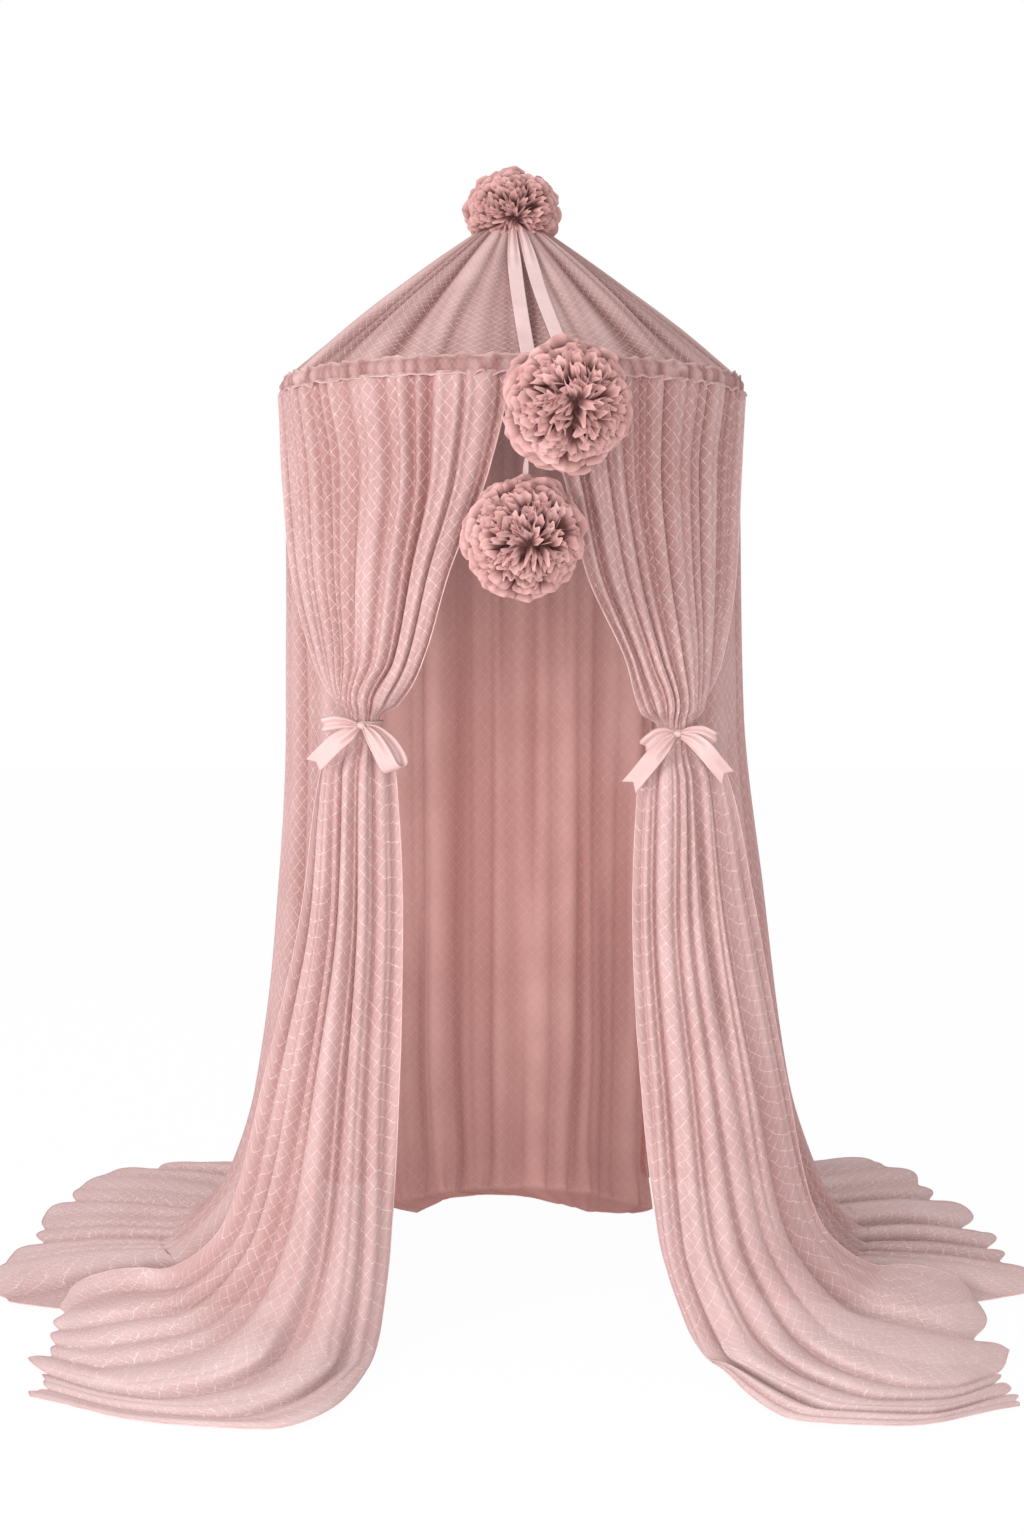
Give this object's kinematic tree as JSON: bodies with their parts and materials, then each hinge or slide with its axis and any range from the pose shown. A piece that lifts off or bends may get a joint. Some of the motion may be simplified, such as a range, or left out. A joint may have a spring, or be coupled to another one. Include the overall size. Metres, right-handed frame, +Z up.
{
  "type": "hanging bed canopy",
  "caption": "Round hanging tent canopy on a hoop, with gathered roof, tied-back front curtains, long trains and ruffled poms on ribbons.",
  "frame": {"origin": "the point where the ceiling hook carries the hanging ring, on the hoop's axis", "axes": "+Z up along the hoop's axis, -Y to the front where the two tied-back curtains open, +X to the right seen from the front"},
  "size_m": [1.5655, 1.1577, 1.7],
  "materials": {
    "lace_cloth": "soft lace net with a pale diamond lattice",
    "lining_cloth": "plain sheer cloth, seen from inside",
    "satin_ribbon": "satin ribbon with woven edges",
    "ruffle_petals": "crinkled ruffle petals",
    "ring_steel": "plated wire ring",
    "sleeve_steel": "plain tube sleeve",
    "hoop_rod": "smooth white rod",
    "webbing": "woven tape"
  },
  "bodies": {
    "root": {"roof_cloth": "lace_cloth", "rim_ruffle": "lace_cloth", "curtain_side_left": "lace_cloth", "curtain_side_right": "lace_cloth", "curtain_front_left": "lace_cloth", "curtain_front_right": "lace_cloth", "curtain_back": "lining_cloth", "tie_band_left": "satin_ribbon", "bow_left_knot": "satin_ribbon", "bow_left_loop_upper": "satin_ribbon", "bow_left_loop_lower": "satin_ribbon", "bow_left_tail": "satin_ribbon", "tie_band_right": "satin_ribbon", "bow_right_knot": "satin_ribbon", "bow_right_loop_left": "satin_ribbon", "bow_right_loop_right": "satin_ribbon", "bow_right_tail_left": "satin_ribbon", "bow_right_tail_right": "satin_ribbon", "ribbon_1_roof": "satin_ribbon", "ribbon_2_roof": "satin_ribbon", "pom_top": "ruffle_petals", "hanging_ring": "ring_steel", "hoop_sleeve_left": "sleeve_steel", "hoop_sleeve_right": "sleeve_steel", "hoop_half_front": "hoop_rod", "hoop_half_back": "hoop_rod", "hanging_loop": "webbing", "neck_binding": "webbing"},
    "pendant_1": {"ribbon_1_drop": "satin_ribbon"},
    "flower_1": {"pom_1": "ruffle_petals"},
    "pendant_2": {"ribbon_2_drop": "satin_ribbon"},
    "flower_2": {"pom_2": "ruffle_petals"}
  },
  "joints": [
    {"name": "pendant_1_swing", "type": "hinge", "parent": "root", "child": "pendant_1", "pos_m": [0.07114, -0.34351, -0.3212], "axis": [-1, 0, 0], "range_deg": [0, 40]},
    {"name": "pom_1_twist", "type": "hinge", "parent": "pendant_1", "child": "flower_1", "pos_m": [0.071, -0.445, -0.395], "axis": [0.0011, 0.8088, 0.5881], "range_deg": [-90, 90]},
    {"name": "pendant_2_swing", "type": "hinge", "parent": "root", "child": "pendant_2", "pos_m": [0.02203, -0.35011, -0.3212], "axis": [-1, 0, 0], "range_deg": [0, 6]},
    {"name": "pom_2_twist", "type": "hinge", "parent": "pendant_2", "child": "flower_2", "pos_m": [0.016, -0.393, -0.564], "axis": [0.0244, 0.1739, 0.9845], "range_deg": [-90, 90]}
  ]
}
